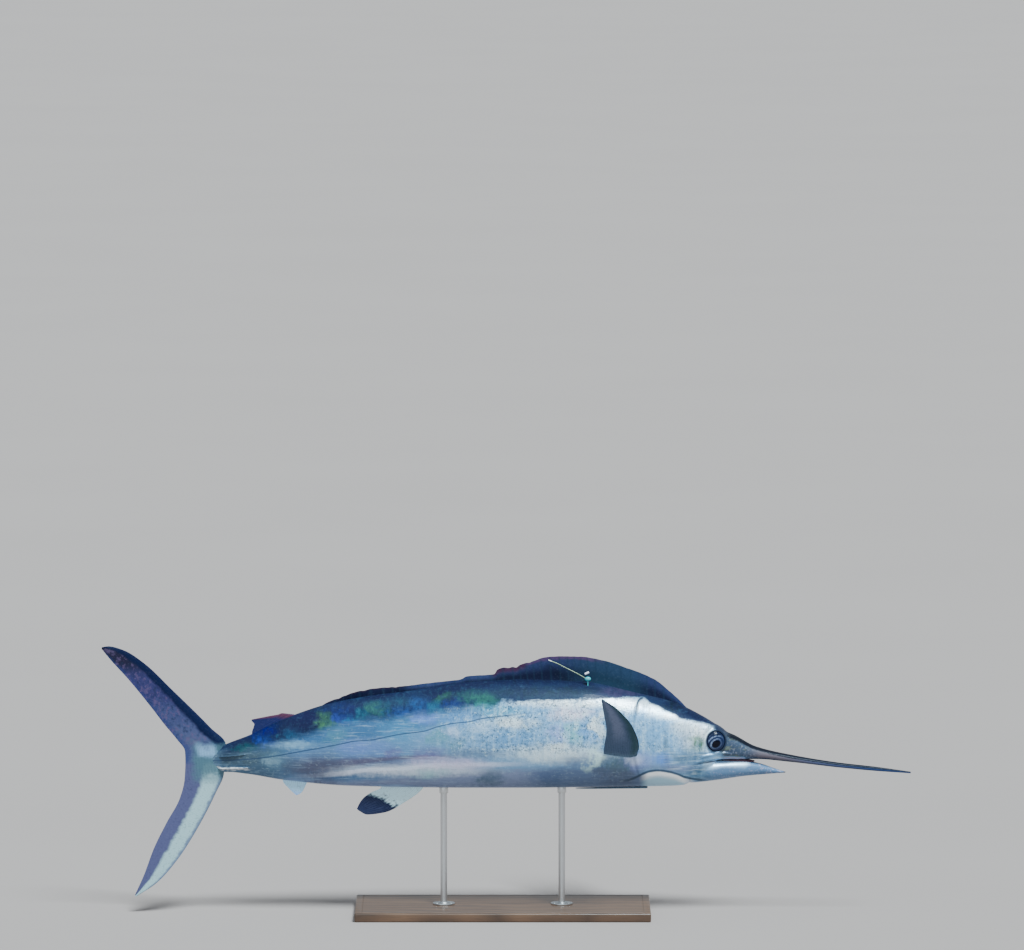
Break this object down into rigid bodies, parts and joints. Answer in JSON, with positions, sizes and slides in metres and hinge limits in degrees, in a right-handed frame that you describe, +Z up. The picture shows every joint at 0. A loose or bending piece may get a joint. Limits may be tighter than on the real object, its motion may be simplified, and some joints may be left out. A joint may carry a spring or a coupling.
{
  "type": "black marlin",
  "caption": "Still, life-size young marlin with a long slender bill, folded sail-like back fin and raised side fins, leaping level above a flat two-rod display stand.",
  "frame": {"origin": "on the floor, at the centre of the underside of the bounding box", "axes": "+X along the fish to the tip of its bill, +Y to the fish's left side, +Z up"},
  "size_m": [2.191, 0.633, 0.7276],
  "materials": {
    "silver_skin": "wet fish skin: navy back, silver flank, pale belly",
    "bill": "dark grey bone with fine grain",
    "dark_fin": "dark slate blue fin membrane and rays, satin",
    "pale_fin": "white fin root with a dark rayed outer half, satin",
    "tail_fin": "purple brown tail fin, silvery at the root, satin",
    "eye": "glossy dark eye with a blue grey iris",
    "tag_bead": "moulded teal plastic",
    "tag_collar": "white plastic sleeve",
    "tag_streamer": "thin pale yellow green plastic tube",
    "stand_wood": "dark satin varnished hardwood",
    "stand_steel": "brushed stainless steel"
  },
  "bodies": {
    "root": {"tail_stalk": "silver_skin", "trunk_rear": "silver_skin", "trunk_middle": "silver_skin", "trunk_front": "silver_skin", "head": "silver_skin", "gill_cover_right": "silver_skin", "gill_cover_left": "silver_skin", "tail_keel_upper_right": "silver_skin", "tail_keel_upper_left": "silver_skin", "tail_keel_lower_right": "silver_skin", "tail_keel_lower_left": "silver_skin", "lower_jaw": "silver_skin", "bill": "bill", "first_dorsal_fin": "dark_fin", "second_dorsal_fin": "dark_fin", "pectoral_fin_right": "dark_fin", "pectoral_fin_left": "dark_fin", "pelvic_fin_right": "dark_fin", "pelvic_fin_left": "dark_fin", "first_anal_fin": "pale_fin", "second_anal_fin": "pale_fin", "tail_fin_upper_lobe": "tail_fin", "tail_fin_lower_lobe": "tail_fin", "eye_right": "eye", "eye_left": "eye", "tag_bead": "tag_bead", "tag_collar": "tag_collar", "tag_streamer": "tag_streamer", "stand_base": "stand_wood", "stand_flange_front": "stand_steel", "stand_flange_rear": "stand_steel", "stand_rod_front": "stand_steel", "stand_rod_rear": "stand_steel"}
  },
  "joints": []
}
